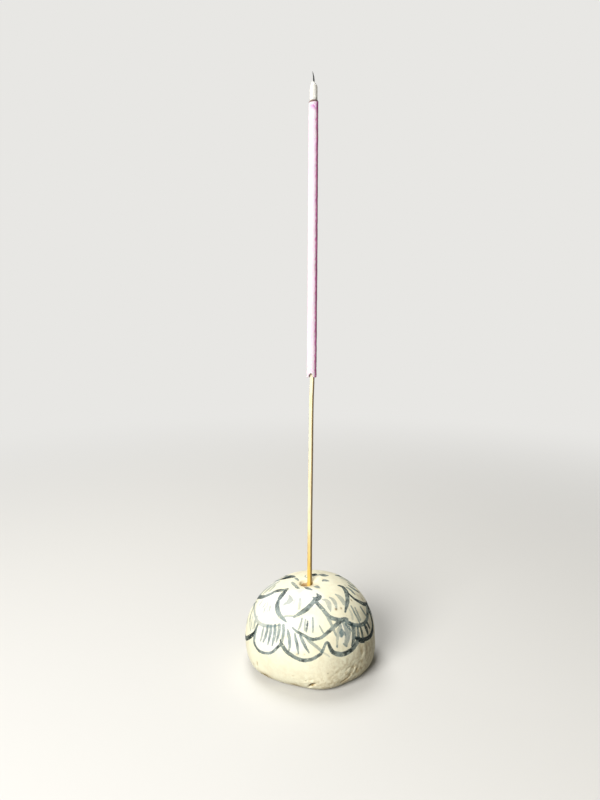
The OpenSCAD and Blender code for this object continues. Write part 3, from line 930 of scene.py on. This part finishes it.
def make_dome(material):
    table = dome_rows()
    # the turned blank only has to order the rows; each is then laid on the formed surface
    bm = turned([(line[1], n) for n, line in enumerate(table)], AROUND)
    row, azimuth, _, _ = read_rows(bm)
    kind = np.array([line[0] for line in table])[row]
    radius, height, share = (np.array([line[n] for line in table], float)[row] for n in (1, 2, 3))
    points, deep, bearing, drop = form_dome(kind, radius, height, share, azimuth)
    under, on_crown = kind == "under", kind == "crown"
    inner = np.isin(kind, ("lip", "funnel", "bore", "floor"))
    glazed = ~(under | inner)

    lines, hatches = back_marks()
    ink = paint(points, OUTLINES + lines, 1)
    wash = paint(points, HATCHES + hatches, 2)
    relief = clay_relief(points, azimuth, drop) * np.where(glazed, smooth(height / FOOT_FADE_H), 0)
    relief[on_crown] *= 1 - smooth(share[on_crown])
    away = points - DOME_CENTRE
    away /= np.linalg.norm(away, axis=1)[:, None]
    points = points + away * relief[:, None]
    rough_wall = (kind == "funnel") * smooth(share * 3) * lumps(points, (0.05, 1.5, 8))
    points += polar(azimuth, rough_wall, 0 * azimuth)

    bare = np.where(under, 1, 1 - smooth((points[:, 2] - BARE_FOOT_H) / GLAZE_FADE_H))
    # Hollows in the clay are browned, partly as stain and partly as painted shade, and the deepest are
    # dark as painted shade.
    values = {"bare": np.where(inner, smooth((deep - GLAZED_MOUTH) / GLAZE_FADE_MOUTH), bare),
              "deep": deep / BORE_DEEP, "hollow_stain_and_shade": np.clip(-relief / HOLLOW_FULL, 0, 1),
              "slip": blobs(bearing, drop, SLIPS, 2.0) * glazed,
              # the stains also paint shade into the pinch and along the foot's front edge
              "stain_and_shade": blobs(bearing, drop, STAINS_AND_SHADE) * glazed, "worn": blobs(bearing, drop, WORN) * glazed}
    for name, (edge, load, along, across) in (("ink", ink), ("wash", wash)):
        values |= {name + "_edge": np.where(glazed, edge, FAR), name + "_load": load,
                   name + "_along": along, name + "_across": across}
    finish_piece(bm, "glazed_dome", "holder", "holder", material, points, values)


GLAZE, GLAZE_WARM = srgb(248, 245, 219), srgb(245, 236, 205)
SLIP_WHITE, SLIP_GREY = srgb(247, 246, 236), srgb(243, 240, 224)
INK_DEEP, INK_THIN = srgb(34, 45, 46), srgb(103, 126, 129)
# The iron colour also darkens the pinch as painted shade; the last colour is painted shade in the deepest
# crevices.
TEA_BROWN, IRON_SPECK_AND_SHADE, CREVICE_SHADE = srgb(168, 142, 88), srgb(112, 94, 52), srgb(62, 50, 32)
# The last colour is painted shade for the clay deep in the bore.
BARE_CLAY, DARK_CLAY, BORE_SHADE_CLAY = srgb(224, 198, 150), srgb(190, 160, 118), srgb(120, 84, 44)


def glaze_material():
    material, tree = new_material("hand_painted_glaze")
    mm = object_mm(tree)
    body = use(MOTTLE, Vector=mm, Scale=0.11, Colour=GLAZE, Other=GLAZE_WARM, Amount=0.5)
    slip = use(MOTTLE, Vector=mm, Scale=0.2, Colour=SLIP_WHITE, Other=SLIP_GREY, Amount=0.6)
    slip_edge = attribute(tree, "slip") + noise(mm, 0.5) * 0.5 - 0.25
    cloud = ramp(noise(mm, 0.16, detail=5.0, rough=0.62), 0.56, 0.78)
    stain_and_shade = (cloud * 0.15 + attribute(tree, "stain_and_shade")) * ramp(noise(mm, 1.4), 0.25, 0.6, 0.6, 1.1)
    patches = ramp(noise(mm, 0.6, detail=6.0, rough=0.68), 0.40, 0.62)
    worn = (attribute(tree, "worn") * 0.60 + 0.06) * patches
    specks = use(SPECKS, Vector=mm, Size=2.6, Amount=0.16, Radius=0.13)
    hollow_stain_and_shade = attribute(tree, "hollow_stain_and_shade")

    covers = []
    for name, dry in (("wash", 0.5), ("ink", 0.2)):
        parts = ("Edge", "Load", "Along", "Across")
        where = {part: attribute(tree, name + "_" + part.lower()) for part in parts}
        covers.append(use(BRUSH, Vector=mm, Dry=dry, **where))
    painted = maths("MAXIMUM", *covers)

    clay = use(MOTTLE, Vector=mm, Scale=0.5, Colour=BARE_CLAY, Other=DARK_CLAY, Amount=0.7)
    # The bare clay darkens down the bore: painted shade.
    clay = mix(ramp(attribute(tree, "deep"), 0.02, 0.34), clay, BORE_SHADE_CLAY)
    bare = ramp(attribute(tree, "bare") + noise(mm, 0.8) * 0.6 - 0.3, 0.35, 0.65)
    colour = layered(
        # stains, darkest as iron; at the pinch and the foot's front edge they are painted shade
        body, (ramp(slip_edge, 0.15, 0.6), slip), (stain_and_shade, TEA_BROWN),
        (ramp(stain_and_shade, 0.55, 1.0, 0.0, 0.8), IRON_SPECK_AND_SHADE), (worn, TEA_BROWN), (specks * 0.5, IRON_SPECK_AND_SHADE),
        # hollows: brown as stain and painted shade, then dark as painted shade where deepest
        (ramp(hollow_stain_and_shade, 0.05, 0.45, 0.0, 0.45), TEA_BROWN), (ramp(hollow_stain_and_shade, 0.5, 0.9, 0.0, 0.9), CREVICE_SHADE),
        *((cover, mix(ramp(cover, 0.78, 1.0), INK_THIN, INK_DEEP)) for cover in covers), (bare, clay))
    rough = noise(mm, 1.3, detail=4.0) * 0.16 + 0.44 + painted * 0.08 + bare * 0.34
    height = noise(mm, 0.7) * 1.6 + noise(mm, 3.2, detail=5.0, rough=0.6) + slip["Height"] * 0.4
    output(principled(
        tree, Base_Color=colour, Roughness=rough.clamped(), Specular_IOR_Level=0.24 - painted * 0.19,
        Coat_Weight=(1.0 - bare) * (1.0 - painted) * 0.05, Coat_Roughness=0.3,
        Normal=bump(height, 0.035, 0.8)))
    return material


# -------- the incense stick, in mm along it

SPLINT_FOOT, BARE_TOP, COAT_TOP = -19.8, 84.2, 186.6
SPLINT_FOOT_R, SPLINT_R = 1.02, 0.94
SQUARE_POWER = 3.4
COAT_HEM_R, COAT_END_R = 1.90, 1.80
RING_TOP, ASH_R, ASH_TOP = 187.1, 1.43, 194.0
ASH_PEAK_X = -0.4
ASH_SLOPE_RIGHT, ASH_SLOPE_LEFT = math.tan(math.radians(43)), math.tan(math.radians(69))
CHAR_R, CHAR_END_R, CHAR_LEAN = 0.60, 0.28, math.tan(math.radians(0.9)) * 6.9
SPIKE_H, SPIKE_CURL, SPIKE_STEPS = 3.6, 0.5, 26
SPLINT_AROUND, COAT_AROUND, RING_AROUND, ASH_AROUND, CHAR_AROUND = 56, 72, 96, 88, 28
BROAD_FACE, LIT_SIDE = 246.0, 226.0
HEM_NOTCH_H, HEM_NOTCH_LEFT, HEM_NOTCH_R = 1.55, 0.45, 0.90
BAND_BELOW_BURN, BAND_HALF_H, BAND_SIDE, BAND_HALF_TURN = 1.75, 0.95, 306, 66
BURN_TILT, BURN_TILT_H = 0.12, 1.6
SPLINT_BEND_RIGHT, SPLINT_BEND_H = 0.28, 7
BOW_HEIGHTS = [-20, 2, 14, 40, 63, 95, 140, 184, 194, 198]
BOW_RIGHT = [0, 0, -0.06, 0.05, 0.16, 0.2, 0.2, 0.14, 0.1, 0.1]


def finish_stick_piece(bm, name, node, material, points, values):
    """A piece of the stick: its points bowed, tilted at the burn line and laid along the stick."""
    bent = points.copy()
    bent[:, 2] += BURN_TILT * points[:, 0] * bell(points[:, 2] - COAT_TOP, BURN_TILT_H)
    bent[:, 0] += np.interp(points[:, 2], BOW_HEIGHTS, BOW_RIGHT)
    finish_piece(bm, name, "stick", node, material, on_stick(bent), values)


def side_rows(radius_low, low, radius_high, high, step):
    count = max(2, round((high - low) / step) + 1)
    return [(radius_low + (radius_high - radius_low) * t, low + (high - low) * t)
            for t in np.linspace(0, 1, count)]


def make_splint(material):
    foot = SPLINT_FOOT
    rows = [(0, foot + 0.12), (0.3, foot + 0.05), (SPLINT_FOOT_R - 0.14, foot),
            (SPLINT_FOOT_R - 0.03, foot + 0.12)]
    rows += side_rows(SPLINT_FOOT_R, foot + 0.4, SPLINT_R, BARE_TOP, 1.0)
    rows += side_rows(SPLINT_R, BARE_TOP + 0.6, SPLINT_R, BARE_TOP + 4, 0.7)
    rows += side_rows(SPLINT_R, BARE_TOP + 9, SPLINT_R, COAT_TOP, 9) + [(0, COAT_TOP)]
    bm = turned(rows, SPLINT_AROUND)
    _, azimuth, radius, place = read_rows(bm)
    height = place[:, 2]
    face = np.radians(azimuth - BROAD_FACE + 1.5 * np.sin(height / 30))
    square = np.abs(np.cos(face)) ** SQUARE_POWER + np.abs(np.sin(face)) ** SQUARE_POWER
    square = (square / 2) ** (-1 / SQUARE_POWER) / math.sqrt(2)
    fibres = 0.014 + lumps(place * [1, 1, 0.018], (0.014, 0.42, 11))
    fibres += lumps(place * [1, 1, 0.12], (0.008, 1.4, 12))
    points = polar(azimuth, np.clip(radius * square - fibres * (radius > 0.5), 0, radius), height)
    points[:, 0] += SPLINT_BEND_RIGHT * bell(height - BARE_TOP, SPLINT_BEND_H)
    points[:, 2] += (height < foot + 0.2) * lumps(place, (0.10, 0.5, 13))
    # The face away from the key lamp is darker: partly the bamboo's outer skin, partly painted shade.
    skin_and_shade_side = smooth((np.cos(np.radians(azimuth - BROAD_FACE - 90)) - 0.45) / 0.3)
    foot_dirt = np.exp(-np.clip(height - foot, 0, None) / 5)
    values = {"along": height, "skin_and_shade_side": skin_and_shade_side, "foot_dirt": foot_dirt}
    finish_stick_piece(bm, "split_bamboo", "bamboo_splint", material, points, values)


def hem_rise(azimuth, radius):
    """Rise of the paste's lower end at a direction: a torn lip on the left and a notch in front."""
    x = radius * np.cos(np.radians(azimuth))
    front = smooth(-np.sin(np.radians(azimuth)) * 3)
    notch = np.sqrt(np.clip(1 - ((x + HEM_NOTCH_LEFT) / HEM_NOTCH_R) ** 2, 0, None))
    return HEM_NOTCH_H * notch * front - 0.10 * bell(turn_between(azimuth, 188), 35)


def make_coat(material):
    inner, gap, deep = SPLINT_R - 0.05, SPLINT_R + 0.16, 1.3
    rows = [(inner, BARE_TOP + deep + 0.3), (gap, BARE_TOP + deep), (gap, BARE_TOP + deep / 2),
            (gap + 0.05, BARE_TOP + 0.1), (gap + 0.2, BARE_TOP), (COAT_HEM_R - 0.3, BARE_TOP - 0.03),
            (COAT_HEM_R - 0.1, BARE_TOP + 0.01)]
    rows += side_rows(COAT_HEM_R - 0.02, BARE_TOP + 0.10, COAT_HEM_R, BARE_TOP + 6, 0.24)
    rows += side_rows(COAT_HEM_R, BARE_TOP + 6.3, COAT_END_R, COAT_TOP - 4, 0.36)
    rows += side_rows(COAT_END_R, COAT_TOP - 3.8, COAT_END_R - 0.01, COAT_TOP, 0.2) + [(inner, COAT_TOP)]
    bm = turned_ring(rows, COAT_AROUND)
    _, azimuth, radius, place = read_rows(bm)
    height = place[:, 2]
    rise = hem_rise(azimuth, COAT_HEM_R) * smooth((BARE_TOP + 5 - height) / 5)
    rise += lumps(place, (0.05, 0.8, 21)) * smooth((BARE_TOP + 0.9 - height) / 0.9)
    crust = lumps(place, (0.030, 3.4, 22), (0.020, 1.3, 23), (0.012, 0.6, 24))
    points = polar(azimuth, radius + crust * (radius > COAT_END_R - 0.35), height + rise)
    band = bell(height - (COAT_TOP - BAND_BELOW_BURN), BAND_HALF_H) * bell(
        turn_between(azimuth, BAND_SIDE), BAND_HALF_TURN) * smooth(0.95 + lumps(place, (0.5, 1.3, 25)))
    # The paste turns pale on the side that faces the key lamp: a painted highlight.
    lit = np.cos(np.radians(azimuth - LIT_SIDE)) - 0.06 + lumps(place, (0.08, 1.6, 26))
    # Rows inside the gap at the paste's hem are dark: painted shade.
    values = {"painted_highlight": smooth(lit / 0.30), "band": band,
              "singe": smooth((height - COAT_TOP + 0.35) / 0.35), "painted_gap_shade": radius < COAT_END_R - 0.4}
    finish_stick_piece(bm, "incense_paste", "incense_coat", material, points, values)


def make_ring(material):
    low, high = COAT_TOP - 0.06, RING_TOP
    rows = [(SPLINT_R - 0.2, low), (COAT_END_R - 0.16, low), (COAT_END_R - 0.04, low + 0.05),
            (COAT_END_R - 0.01, low + 0.14), (COAT_END_R - 0.03, low + 0.26), (ASH_R + 0.10, low + 0.40),
            (ASH_R + 0.03, high), (ASH_R - 0.1, high + 0.05), (SPLINT_R - 0.2, high + 0.05)]
    bm = turned_ring(rows, RING_AROUND)
    _, azimuth, radius, place = read_rows(bm)
    rim = radius > 1.2
    points = polar(azimuth, radius + rim * (lumps(place, (0.03, 0.9, 31)) - 0.01),
                   place[:, 2] + rim * lumps(place, (0.035, 1.1, 32)))
    # The ring is paler on its left, toward the key lamp: a painted highlight.
    values = {"light": smooth((-place[:, 0] - 0.2) / 1.2)}
    finish_stick_piece(bm, "burn_line", "scorched_ring", material, points, values)


def ash_height(x):
    slope_here = np.where(x > ASH_PEAK_X, ASH_SLOPE_RIGHT, ASH_SLOPE_LEFT)
    return ASH_TOP - np.abs(x - ASH_PEAK_X) * slope_here


def make_ash(material):
    low = RING_TOP - 0.02
    sides, caps = 64, 16
    # two rows under the ash, its side, and its slanted top; the heights here only order the rows
    radii = [0, 0.9] + [ASH_R] * sides + [ASH_R * (1 - (n + 1) / caps) for n in range(caps)]
    rows = list(zip(radii, [0, 0.1, *range(1, sides + caps + 1)]))
    bm = turned(rows, ASH_AROUND)
    row, azimuth, _, _ = read_rows(bm)
    radius = np.array(radii)[row]
    under, cap = row < 2, row >= 2 + sides
    share = np.clip((row - 2) / (sides - 1), 0, 1)
    height = low + (ash_height(ASH_R * np.cos(np.radians(azimuth))) - low) * share
    height = np.where(cap, ash_height(radius * np.cos(np.radians(azimuth))), height)
    height = np.where(under, low, height)
    line = polar(azimuth, radius, height)
    crumb = lumps(line, (0.028, 1.5, 41), (0.010, 0.3, 43)) + lumps(line * [1, 1, 1.6], (0.022, 0.62, 42))
    crumb *= np.where(under, 0, smooth((height - low) / 0.4))
    shrink = np.where(cap, 0, -0.05 * smooth((share - 0.9) / 0.1))
    points = polar(azimuth, np.clip(radius + (crumb + shrink) * (radius > 0.4), 0, None),
                   height + cap * 1.6 * crumb * np.clip(radius / ASH_R, 0.3, 1))
    points[:, 2] = np.minimum(points[:, 2], ASH_TOP - 0.02)
    core = bell(np.hypot(points[:, 0] - CHAR_LEAN, points[:, 1]), 0.5)
    # The slanted top is dark round the charred core as soot, and on its right, away from the key lamp, as
    # painted shade; the ash is also darker just above the burn line.
    soot_and_shade = cap * np.maximum(0.15 * smooth((points[:, 0] - 0.1) / 0.8), core)
    soot_and_shade = np.maximum(soot_and_shade, smooth((low + 0.25 - height) / 0.25) * 0.5)
    finish_stick_piece(bm, "ash_crumb", "ash_column", material, points, {"soot_and_shade": soot_and_shade})


def make_char(material):
    rows = [(0, COAT_TOP), (CHAR_R, COAT_TOP), (CHAR_R, RING_TOP)]
    rows += side_rows(CHAR_R, RING_TOP + 0.5, CHAR_END_R, ASH_TOP, 0.4)[:-1]
    rows += [(CHAR_END_R * (1 - 0.25 * t - 0.62 * t ** 3), ASH_TOP + SPIKE_H * t)
             for t in np.linspace(0, 1, SPIKE_STEPS + 1)]
    rows += [(0, ASH_TOP + SPIKE_H + 0.03)]
    bm = turned(rows, CHAR_AROUND)
    _, azimuth, radius, place = read_rows(bm)
    height = place[:, 2]
    up = np.clip((height - ASH_TOP) / SPIKE_H, 0, 1)
    lean = CHAR_LEAN * np.clip((height - RING_TOP) / (ASH_TOP - RING_TOP), 0, 1)
    ridges = lumps(place * [1, 1, 0.2], (0.030, 0.25, 51)) + lumps(place, (0.018, 0.5, 52))
    points = polar(azimuth, radius * (1 + 3 * ridges), height)
    points[:, 0] += lean - SPIKE_CURL * up ** 1.6 + 0.06 * bell(up - 0.45, 0.16)
    values = {"grey": smooth((up - 0.2) / 0.8)}
    finish_stick_piece(bm, "charred_tip", "charred_splint", material, points, values)


# -------- materials of the stick

BAMBOO_GOLD, BAMBOO_PALE = srgb(230, 196, 100), srgb(250, 243, 206)
# The brown serves the fibres, the dirt at the foot, the outer skin and the painted shade on the face away
# from the key lamp.
BAMBOO_BROWN_AND_SHADE, BAMBOO_FIBRE = srgb(126, 90, 32), srgb(206, 164, 92)
PASTE_PINK, PASTE_DEEP, PASTE_BAND = srgb(252, 152, 212), srgb(214, 100, 182), srgb(186, 82, 176)
# The first colour here is painted shade inside the gap at the paste's hem; the second is the pale pink of
# a painted highlight on the paste's lit side.
PASTE_GAP_SHADE, PASTE_PAINTED_HIGHLIGHT = srgb(92, 34, 66), srgb(251, 229, 244)
# The third colour is the painted highlight on the scorched ring's lamp side.
SCORCH_BROWN, SCORCH_BLACK, SCORCH_PAINTED_LIT = srgb(112, 80, 74), srgb(70, 46, 46), srgb(172, 138, 124)
# The last colour serves both soot and the painted shade on the right of the ash's top.
ASH_WHITE, ASH_GREY, SOOT_AND_SHADE = srgb(246, 245, 239), srgb(224, 221, 213), srgb(52, 42, 40)
CHAR_BLACK, CHAR_GREY = srgb(33, 37, 38), srgb(92, 98, 98)


def bamboo_material():
    material, tree = new_material("split_bamboo")
    fine = object_mm(tree, stretch=(3600.0, 3600.0, 38.0), turn=LEAN_BACK)
    coarse = object_mm(tree, stretch=(1500.0, 1500.0, 14.0), turn=LEAN_BACK)
    thin = use(STREAKS, Vector=fine, Low=0.52, High=0.7)
    colour = layered(
        mix(ramp(attribute(tree, "along"), 4.0, 34.0), BAMBOO_GOLD, BAMBOO_PALE),
        # darker face away from the key lamp: outer skin and painted shade
        (attribute(tree, "skin_and_shade_side") * 0.85, BAMBOO_BROWN_AND_SHADE),
        (use(STREAKS, Vector=coarse, Low=0.42, High=0.72) * 0.5, BAMBOO_FIBRE),
        (thin * 0.45, BAMBOO_BROWN_AND_SHADE), (attribute(tree, "foot_dirt") * 0.6, BAMBOO_BROWN_AND_SHADE))
    output(principled(tree, Base_Color=colour, Roughness=thin * 0.2 + 0.42, Specular_IOR_Level=0.4,
                      Normal=bump(thin["Height"], 0.03, 0.7)))
    return material


def paste_material():
    material, tree = new_material("incense_paste")
    mm = object_mm(tree)
    pink = use(MOTTLE, Vector=mm, Scale=0.9, Colour=PASTE_PINK, Other=PASTE_DEEP, Amount=0.55)
    # Pale where the side faces the key lamp: a painted highlight.
    highlight_cover = attribute(tree, "painted_highlight") + noise(mm, 2.2, detail=5.0) * 0.5 - 0.22
    specks = use(SPECKS, Vector=mm, Size=0.45, Amount=0.22, Radius=0.2)
    colour = layered(
        pink, (ramp(highlight_cover, 0.1, 0.95), PASTE_PAINTED_HIGHLIGHT), (attribute(tree, "band") * 0.9, PASTE_BAND),
        # then the inside of the hem's gap darkened as painted shade
        (specks * 0.35, PASTE_DEEP), (attribute(tree, "painted_gap_shade") * 0.8, PASTE_GAP_SHADE),
        (attribute(tree, "singe"), SCORCH_BROWN))
    grain = noise(mm, 7.0, detail=4.0, rough=0.7) + pink["Height"]
    output(principled(
        tree, Base_Color=colour, Roughness=0.93, Specular_IOR_Level=0.2, Sheen_Weight=0.15,
        Sheen_Roughness=0.6, Subsurface_Weight=0.5, Subsurface_Scale=0.0014,
        Subsurface_Radius=(1.0, 0.6, 0.85), Normal=bump(grain, 0.05, 0.8)))
    return material


def scorch_material():
    material, tree = new_material("scorched_paste")
    mm = object_mm(tree)
    burnt = use(MOTTLE, Vector=mm, Scale=1.4, Colour=SCORCH_BROWN, Other=SCORCH_BLACK, Amount=0.9)
    # Paler toward the key lamp: a painted highlight.
    colour = mix(attribute(tree, "light") * 0.8, burnt, SCORCH_PAINTED_LIT)
    output(principled(tree, Base_Color=colour, Roughness=0.95, Specular_IOR_Level=0.15,
                      Normal=bump(burnt["Height"], 0.06, 0.9)))
    return material


def ash_material():
    material, tree = new_material("incense_ash")
    mm = object_mm(tree)
    pale = use(MOTTLE, Vector=mm, Scale=1.1, Colour=ASH_WHITE, Other=ASH_GREY, Amount=0.55)
    # Soot, and painted shade on the right of the ash's top.
    soot_and_shade = attribute(tree, "soot_and_shade") + noise(mm, 3.0) * 0.4 - 0.2
    specks = use(SPECKS, Vector=mm, Size=0.6, Amount=0.16, Radius=0.16)
    colour = layered(pale, (ramp(soot_and_shade, 0.25, 0.75), SOOT_AND_SHADE), (specks * 0.3, SOOT_AND_SHADE))
    grain = noise(mm, 6.0, detail=5.0, rough=0.7) + pale["Height"]
    output(principled(
        tree, Base_Color=colour, Roughness=0.97, Specular_IOR_Level=0.1, Subsurface_Weight=0.9,
        Subsurface_Scale=0.0026, Subsurface_Radius=(1.0, 1.0, 1.0), Normal=bump(grain, 0.07, 0.9)))
    return material


def char_material():
    material, tree = new_material("charred_bamboo")
    lengthwise = object_mm(tree, stretch=(2600.0, 2600.0, 500.0), turn=LEAN_BACK)
    streak = use(STREAKS, Vector=lengthwise, Low=0.4, High=0.7)
    colour = mix(streak * (attribute(tree, "grey") * 0.3 + 0.2), CHAR_BLACK, CHAR_GREY)
    output(principled(tree, Base_Color=colour, Roughness=0.85, Specular_IOR_Level=0.3,
                      Normal=bump(streak["Height"], 0.03, 0.8)))
    return material


# -------- the scene

def main():
    make_camera()
    make_world()
    for lamp in LAMPS:
        make_lamp(*lamp)
    make_floor()
    make_dome(glaze_material())
    make_splint(bamboo_material())
    make_coat(paste_material())
    make_ring(scorch_material())
    make_ash(ash_material())
    make_char(char_material())


main()
bpy.context.scene.view_settings.view_transform = "Standard"
